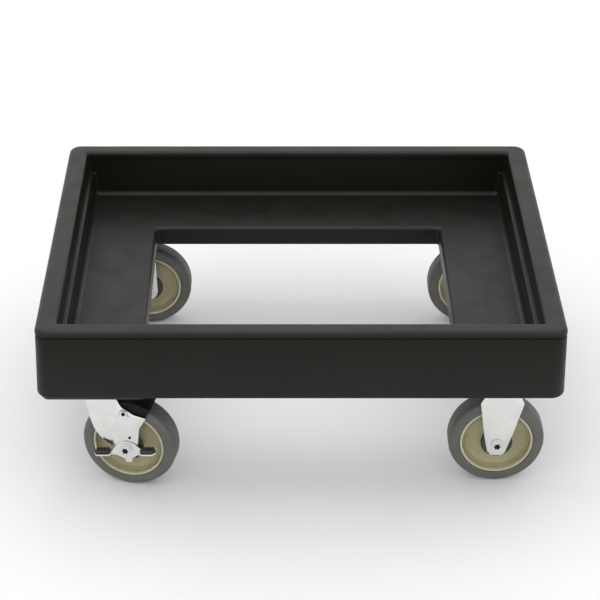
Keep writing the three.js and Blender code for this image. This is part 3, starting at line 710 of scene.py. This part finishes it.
def guard_mesh(side):
    """Dished disc that keeps thread out of the hub."""
    face = FORK_HALF - FORK_THICKNESS - GAP
    outline = fillet([
        (CORE_BORE, face - GUARD_WALL, 0),
        (CORE_BORE, face, 0.4 * MM),
        (GUARD_RADIUS, face, 2 * MM),
        (GUARD_RADIUS, face - GUARD_DEPTH, 0.4 * MM),
        (GUARD_RADIUS - GUARD_WALL, face - GUARD_DEPTH, 0.4 * MM),
        (GUARD_RADIUS - GUARD_WALL, face - GUARD_WALL, 1 * MM),
    ])
    return turned([(radius, side * station) for radius, station in outline])


def edge_line(corners):
    """One edge of a leg as (height, place) points, from its corners in millimetres."""
    return fillet([(height * MM, place * MM, radius * MM) for place, height, radius in corners], closed=False)


def along(line, height):
    """Where a leg's edge lies at a height."""
    if height <= line[0][0]:
        return line[0][1]
    for (low, start), (high, end) in zip(line, line[1:]):
        if low <= height <= high:
            return start + (end - start) * (height - low) / max(high - low, 1e-9)
    return line[-1][1]


def fork_path(left, right, top):
    """Half of the fork's section, up one leg to the middle: (y, z) with the way in towards the wheel."""
    bottom = FORK_FOOT[0][1] * MM
    bend_start = top - FORK_BEND
    heights = [height for line in (left, right) for height, _ in line if bottom < height < bend_start]
    heights += [bottom + (bend_start - bottom) * step / LEG_ROWS for step in range(1, LEG_ROWS + 1)]
    levels = [bottom]
    for height in sorted(heights):
        if height - levels[-1] > LEAST_ROW:
            levels.append(height)
    path = [(-FORK_HALF, height, 1, 0) for height in levels]
    for step in range(1, BEND_STEPS + 1):
        angle = step / BEND_STEPS * math.pi / 2
        across, up = math.cos(angle), math.sin(angle)
        path.append((-FORK_HALF + FORK_BEND * (1 - across), bend_start + FORK_BEND * up, across, -up))
    return path


def fork_rows(mesh, path, left, right):
    """A pressed sheet whose rows follow a path, between a left and a right edge."""
    rings = []
    for y, z, in_y, in_z in path:
        start, end = along(left, z), along(right, z)
        outside, inside = [], []
        for column in range(LEG_COLUMNS + 1):
            across = column / LEG_COLUMNS
            curl = FORK_EDGE_CURL * abs(2 * across - 1) ** CURL_POWER if in_z == 0 else 0
            x = start + (end - start) * across
            outside.append(mesh.verts.new((x, y + curl * in_y, z)))
            inside.append(mesh.verts.new((x, y + FORK_THICKNESS * in_y, z + FORK_THICKNESS * in_z)))
        rings.append(outside + list(reversed(inside)))
    skin_solid(mesh, rings)


def fork_sheet(left, right, top, bridged=True):
    """A fork's two legs, bent in at the top; bridged legs are one sheet over the wheel."""
    near = fork_path(left, right, top)
    far = [(-y, z, -in_y, in_z) for y, z, in_y, in_z in reversed(near)]
    mesh = bmesh.new()
    for path in [near + far] if bridged else [near, far]:
        fork_rows(mesh, path, left, right)
    return mesh


def rigid_fork(caster):
    """U-shaped fork whose legs lean a little towards the dolly's end."""
    top = caster.fork_top
    base = FORK_FOOT[-1][1] * MM

    def edge(side):
        corners = [(side * half, height, radius) for half, height, radius in FORK_FOOT + RIGID_LEG]
        return [(height, place + RIGID_LEG_LEAN * max(height - base, 0) / (top - base))
                for height, place in edge_line(corners)]

    return placed(fork_sheet(edge(-1), edge(1), top), caster.fork_frame)


def swivel_fork(caster):
    """Fork with two legs raked back to the axle, under a dished round crown."""
    top = caster.fork_top
    lead = caster.lead / MM
    trail_side = BRAKED_LEG_TRAIL_SIDE if caster.name == BRAKED else SWIVEL_LEG_TRAIL_SIDE
    left_foot = [(lead - half, height, radius) for half, height, radius in FORK_FOOT]
    right_foot = [(lead + half, height, radius) for half, height, radius in FORK_FOOT]
    left = edge_line(left_foot + SWIVEL_LEG_LEAD_SIDE)
    right = edge_line(right_foot + trail_side)
    dish = fillet([(radius * MM, height * MM, corner * MM) for radius, height, corner in CROWN_DISH])
    crown = moved(placed(turned(dish), ON_END), z=top)
    return placed(joined(fork_sheet(left, right, top, bridged=False), crown), caster.fork_frame)


def hex_head(radius, low, high):
    outline = [(radius * math.cos(i * math.pi / 3), radius * math.sin(i * math.pi / 3)) for i in range(6)]
    return slab(outline, low, high)


def along_axle(mesh, side):
    """Turns a mesh built along +Z so that it points out along the axle."""
    return placed(mesh, Matrix.Rotation(-side * math.pi / 2, 4, "X"))


def threaded_rod(radius, low, high):
    """A bolt's shank end with its thread, along +Z."""
    profile = [(0, low), (radius, low)]
    for turn in range(int((high - low) / THREAD_PITCH)):
        station = low + turn * THREAD_PITCH
        profile += [
            (radius, station + THREAD_PITCH * 0.2),
            (radius - THREAD_DEPTH, station + THREAD_PITCH * 0.6),
            (radius, station + THREAD_PITCH),
        ]
    profile += [(radius - THREAD_END_CHAMFER, high), (0, high)]
    return placed(turned(profile, closed=False, segments=32), ON_END)


def washer(inner, outer, low, high):
    profile = fillet([(inner, low, 0), (outer, low, 0.3 * MM), (outer, high, 0.3 * MM), (inner, high, 0)])
    return placed(turned(profile, segments=48), ON_END)


def axle_bolt(caster, head_gap):
    """Hex bolt on a washer at one end, and its threaded end beyond the nut."""
    seat = FORK_HALF + head_gap
    hex_seat = seat + AXLE_WASHER_THICKNESS
    head = joined(washer(*AXLE_WASHER, seat, hex_seat), hex_head(AXLE_HEX, hex_seat, seat + AXLE_HEAD_HEIGHT))
    shank = threaded_rod(AXLE_RADIUS, THREAD_START, FORK_HALF + THREAD_SHOWN)
    return placed(joined(along_axle(head, caster.outer), along_axle(shank, -caster.outer)), caster.wheel_frame)


def bolt_head_painted_shade(caster, head_gap):
    """Star-shaped near-black patch on the axle bolt's head: painted shade of the recess in the head."""
    top = FORK_HALF + head_gap + AXLE_HEAD_HEIGHT
    points = []
    for i in range(12):
        radius = SOCKET_SHADE_RADII[i % 2]
        points.append((radius * math.cos(i * math.pi / 6), radius * math.sin(i * math.pi / 6)))
    star = slab(points, top - SOCKET_SHADE_DEPTH, top + SOCKET_SHADE_PROUD)
    return placed(along_axle(star, caster.outer), caster.wheel_frame)


def axle_nut(caster):
    seat = FORK_HALF + GAP
    nut = hex_head(NUT_HEX, seat, seat + NUT_HEIGHT)
    return placed(along_axle(nut, -caster.outer), caster.wheel_frame)


def mounting_bolt(node):
    """Flanged hex bolt seen under the plate."""
    low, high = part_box(node)
    centre = (low + high) / 2
    flange_low, flange_high = MOUNT_FLANGE_HEIGHTS
    flange = washer(*MOUNT_FLANGE, low.z + flange_low, low.z + flange_high)
    return moved(joined(hex_head(MOUNT_HEX, low.z, low.z + MOUNT_HEX_HEIGHT), flange), centre.x, centre.y)


def make_plate(caster):
    low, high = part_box(caster.node("top_plate"))
    outline = rounded_rectangle((high.x - low.x) / 2, (high.y - low.y) / 2, PLATE_CORNER)
    mesh = moved(slab(outline, low.z, high.z), caster.plate.x, caster.plate.y)
    piece(caster.node("plate"), mesh, ZINC, "base", [caster.node("top_plate")], bevel=EDGE_BEVEL)


def make_race(caster):
    """Ring pressed under the plate, which the balls run against."""
    low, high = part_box(caster.node("upper_race"))
    race = placed(turned(fillet([
        (RACE_INNER, low.z, 0.4 * MM),
        (RACE_OUTER, low.z, 0.6 * MM),
        (RACE_OUTER, high.z, 0.3 * MM),
        (RACE_INNER, high.z, 0.3 * MM),
    ])), ON_END)
    race = moved(race, caster.plate.x, caster.plate.y)
    piece(caster.node("race"), race, ZINC, "base", [caster.node("upper_race")])


def make_balls(caster):
    """The ring of loose balls that the fork turns on."""
    low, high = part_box(caster.node("ball_ring"))
    radius = (high.z - low.z) / 2
    circle = (high.x - low.x) / 2 - radius
    mesh = bmesh.new()
    for i in range(BALL_COUNT):
        angle = 2 * math.pi * i / BALL_COUNT
        x = caster.plate.x + circle * math.cos(angle)
        y = caster.plate.y + circle * math.sin(angle)
        spot = Matrix.Translation((x, y, low.z + radius))
        bmesh.ops.create_icosphere(mesh, subdivisions=2, radius=radius, matrix=spot)
    piece(caster.node("balls"), mesh, STEEL, caster.fork_body, [caster.node("ball_ring")],
          sharp=180)


def make_kingpin(caster):
    """Headed pin through the crown, which holds the fork to the plate."""
    low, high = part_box(caster.node("kingpin"))
    seat = caster.fork_top - FORK_THICKNESS - GAP
    pin = placed(turned(fillet([
        (0, low.z, 0),
        (KINGPIN_FACE, low.z, 1.5 * MM),
        (KINGPIN_HEAD, (low.z + seat) / 2, 1 * MM),
        (KINGPIN_HEAD, seat, 0.4 * MM),
        (KINGPIN_RADIUS, seat, 0),
        (KINGPIN_RADIUS, high.z, 0),
        (0, high.z, 0),
    ], closed=False), closed=False), ON_END)
    pin = moved(pin, caster.plate.x, caster.plate.y)
    piece(caster.node("pin"), pin, STEEL, "base", [caster.node("kingpin")])


def make_wheel(caster):
    body = caster.wheel_body
    spot = caster.wheel_frame
    tyre = placed(tyre_mesh(), spot)
    piece(caster.node("rubber_tyre"), tyre, TYRE, body, [caster.node("tyre")])
    core = placed(core_mesh(), spot)
    piece(caster.node("core"), core, CORE, body, [caster.node("wheel_core")])
    # The ring's lighter plastic is a painted highlight along the core's rim.
    piece(caster.node("core_ring_highlight"), placed(ring_mesh(), spot), RING_HIGHLIGHT, body)
    outer = placed(guard_mesh(caster.outer), spot)
    piece(caster.node("outer_guard"), outer, DARK_STEEL, body, [caster.node("thread_guard")])
    inner = placed(guard_mesh(-caster.outer), spot)
    piece(caster.node("inner_guard"), inner, DARK_STEEL, body)


def make_axle(caster):
    body = caster.fork_body
    head_gap = 2 * GAP + PEDAL_THICKNESS if caster.name == BRAKED else GAP
    piece(caster.node("bolt"), axle_bolt(caster, head_gap), ZINC, body,
          [caster.node("axle_bolt")], bevel=BOLT_BEVEL)
    # Near-black star on the bolt's head: painted shade of its recess.
    piece(caster.node("socket"), bolt_head_painted_shade(caster, head_gap), BLUED_AND_SHADE, body)
    piece(caster.node("nut"), axle_nut(caster), ZINC, body, [caster.node("axle_nut")],
          bevel=EDGE_BEVEL)
    dress(caster.node("axle_sleeve"), STEEL)


def make_caster(caster):
    make_plate(caster)
    for number in range(1, 5):
        node = caster.node(f"mounting_bolt_{number}")
        piece(f"{node}_head", mounting_bolt(node), STEEL, "base", [node], bevel=BOLT_BEVEL)
    fork = swivel_fork(caster) if caster.swivels else rigid_fork(caster)
    piece(caster.node("pressed_fork"), fork, ZINC, caster.fork_body, [caster.node("fork")],
          bevel=EDGE_BEVEL)
    if caster.swivels:
        make_race(caster)
        make_balls(caster)
        make_kingpin(caster)
    make_axle(caster)
    make_wheel(caster)


# ---- foot brake ---------------------------------------------------------------------------

def pedal_mesh():
    """Rocking side pedal: an arched plate on the axle with a shelf bent out at each end."""
    mirrored = [(-x, z, radius) for x, z, radius in reversed(PEDAL_EDGE[:-1])]
    outline = fillet([(x * MM, z * MM, radius * MM) for x, z, radius in PEDAL_EDGE + mirrored])
    back = FORK_HALF + GAP
    front = back + PEDAL_THICKNESS
    plate = placed(slab(outline, back, front), ON_END)
    return joined(plate, pedal_shelf(-1, -front), pedal_shelf(1, -front))


def pedal_shelf(side, front):
    """Shelf under a foot pad, pointed at its outer end."""
    near, far = PEDAL_HALF - SHELF_LENGTH, PEDAL_HALF
    root = front + SHELF_OVERLAP
    lip = front - SHELF_DEPTH + 0.5 * MM
    outline = fillet([
        (side * near, root, 0),
        (side * near, front - SHELF_DEPTH + SHELF_ROUND, SHELF_ROUND),
        (side * (near + 4 * MM), lip, SHELF_ROUND),
        (side * (far - 4 * MM), lip, SHELF_ROUND),
        (side * far, front - SHELF_DEPTH / 2, SHELF_ROUND),
        (side * (far - 2 * MM), root, 0),
    ])
    return slab(outline, SHELF_TOP - PEDAL_THICKNESS, SHELF_TOP)


def foot_pad(side):
    """Ribbed rubber pad on a shelf."""
    length, depth, height = FOOT_PAD_SIZE
    bottom = SHELF_TOP + GAP
    block = rounded_rectangle(length / 2, depth / 2, FOOT_PAD_CORNER, 4)
    parts = [slab(block, bottom, bottom + height - 1.5 * MM)]
    rib_outline = rounded_rectangle(length / RIB_COUNT * RIB_SHARE, depth / 2 - RIB_INSET, RIB_INSET, 3)
    for rib in range(RIB_COUNT):
        bar = slab(rib_outline, bottom + height - RIB_ROOT, bottom + height)
        parts.append(moved(bar, (rib + 0.5) / RIB_COUNT * length - length / 2))
    front = -(FORK_HALF + GAP + PEDAL_THICKNESS)
    return moved(joined(*parts), side * (PEDAL_HALF - SHELF_LENGTH / 2), front - GAP - depth / 2)


def shoe_mesh():
    """Curved shoe over the tread, with a lip turned down on each side and an arm up to the crown."""
    under = WHEEL_RADIUS + SHOE_CLEARANCE
    outer, inner, lip, skin = SHOE_SECTION
    section = [(-outer, -lip), (-outer, skin), (outer, skin), (outer, -lip),
               (inner, -lip), (inner, 0), (-inner, 0), (-inner, -lip)]
    first, last = SHOE_ARC
    mesh = bmesh.new()
    rings = []
    for step in range(SHOE_STEPS + 1):
        angle = math.radians(first + (last - first) * step / SHOE_STEPS)
        shorten = SHOE_LIP_TAPER * abs(2 * step / SHOE_STEPS - 1) ** 4
        ring = []
        for across, out in section:
            radius = under + (out + shorten if out < 0 else out) * MM
            ring.append(mesh.verts.new((radius * math.cos(angle), across * MM, radius * math.sin(angle))))
        rings.append(ring)
    skin_solid(mesh, rings)
    arm_outline = rounded_rectangle(*SHOE_ARM_HALF, SHOE_ARM_CORNER, 3)
    arm = slab(arm_outline, under * math.sin(math.radians(last)), SHOE_ARM_TOP)
    return joined(mesh, moved(arm, SHOE_ARM_X))


def swept_wire(points):
    """A round wire along points."""
    mesh = bmesh.new()
    rings = []
    for i, point in enumerate(points):
        ahead = (points[min(i + 1, len(points) - 1)] - points[max(i - 1, 0)]).normalized()
        turn = ahead.to_track_quat("Z", "Y").to_matrix()
        ring = []
        for side in range(WIRE_SIDES):
            angle = 2 * math.pi * side / WIRE_SIDES
            offset = turn @ Vector((math.cos(angle), math.sin(angle), 0)) * WIRE_RADIUS
            ring.append(mesh.verts.new(point + offset))
        rings.append(ring)
    skin_solid(mesh, rings)
    return mesh


def spring_hook():
    """End of the return spring, hooked over a pin on the outer leg."""
    centre_x, centre_z = HOOK_CENTRE
    reach_x, reach_z = HOOK_RADII
    first, last = HOOK_ARC
    y = -FORK_HALF / MM - HOOK_STANDOFF
    points = []
    for step in range(HOOK_STEPS + 1):
        angle = math.radians(first + (last - first) * step / HOOK_STEPS)
        x = centre_x + reach_x * math.cos(angle)
        z = centre_z + reach_z * math.sin(angle)
        points.append(Vector((x, y, z)) * MM)
    points.append(points[-1] + Vector(HOOK_TAIL) * MM)
    return swept_wire(points)


def leg_pins():
    """Spring pin and rivet head on the braked leg's face."""
    base, crest = PIN_HEIGHTS
    pins = []
    for x, z, radius in LEG_PINS:
        pin = washer(PIN_BORE, radius * MM, FORK_HALF + base, FORK_HALF + crest)
        pins.append(moved(along_axle(pin, -1), x * MM, 0, z * MM))
    return joined(*pins)


def make_brake(caster):
    rocked = caster.wheel_frame @ Matrix.Rotation(-PEDAL_ROCK, 4, "Y")
    pedal = placed(pedal_mesh(), rocked)
    piece("foot_pedal", pedal, ZINC, "brake_pedal", ["brake_pedal"], bevel=PEDAL_BEVEL)
    for side, node in ((-1, "brake_pad_outboard"), (1, "brake_pad_inboard")):
        pad = placed(foot_pad(side), rocked)
        piece(f"{node}_rubber", pad, RUBBER, "brake_pedal", [node], bevel=EDGE_BEVEL)
    # The shoe's near-black finish is partly its own dark steel and partly painted shade from the deck above it.
    shoe = placed(shoe_mesh(), caster.wheel_frame)
    piece("pressed_shoe", shoe, BLUED_AND_SHADE, "brake_shoe", ["brake_shoe"], bevel=BOLT_BEVEL)
    hook = placed(spring_hook(), caster.wheel_frame)
    piece("spring_hook", hook, ZINC, "front_left_swivel")
    pins = placed(leg_pins(), caster.wheel_frame)
    piece("leg_pins", pins, BLUED_AND_SHADE, "front_left_swivel", bevel=PIN_BEVEL)


# ---- stage --------------------------------------------------------------------------------

def make_lamp():
    """One large soft light above the dolly."""
    light = bpy.data.lights.new("overhead", "AREA")
    light.shape = "RECTANGLE"
    light.size, light.size_y = LAMP_SIZE
    light.energy = LAMP_POWER
    lamp = bpy.data.objects.new("overhead", light)
    bpy.context.scene.collection.objects.link(lamp)
    lamp.location = LAMP_PLACE
    lamp.rotation_euler = (Vector(LAMP_TARGET) - Vector(LAMP_PLACE)).to_track_quat("-Z", "Y").to_euler()


def make_stage():
    """Pale floor, the lamp and an even white surrounding."""
    bpy.ops.mesh.primitive_plane_add(size=FLOOR_SIZE, location=(0, 0, 0))
    floor = bpy.context.object
    floor.name = "floor"
    floor.data.materials.append(pale_floor())
    make_lamp()
    world = bpy.data.worlds.new("studio")
    bpy.context.scene.world = world
    world.use_nodes = True
    background = world.node_tree.nodes["Background"]
    background.inputs["Color"].default_value = (1, 1, 1, 1)
    background.inputs["Strength"].default_value = WORLD_STRENGTH
    bpy.context.scene.view_settings.view_transform = "Standard"


def make_camera():
    data = bpy.data.cameras.new("camera")
    data.lens = CAMERA_LENS
    data.shift_x, data.shift_y = CAMERA_SHIFT
    camera = bpy.data.objects.new("camera", data)
    bpy.context.scene.collection.objects.link(camera)
    camera.location = CAMERA_PLACE
    camera.rotation_euler = (math.pi / 2 - CAMERA_PITCH, 0, 0)
    bpy.context.scene.camera = camera


# ---- the object ---------------------------------------------------------------------------

casters = [Caster("front_left", True, -1), Caster("rear_left", True, 1),
           Caster("front_right", False, -1), Caster("rear_right", False, 1)]

make_camera()
make_stage()
deck = joined(deck_shell(), *[corner_pad(caster) for caster in casters])
piece("moulded_deck", deck, PLASTIC, "base", ["deck"])
for caster in casters:
    make_caster(caster)
make_brake(casters[0])
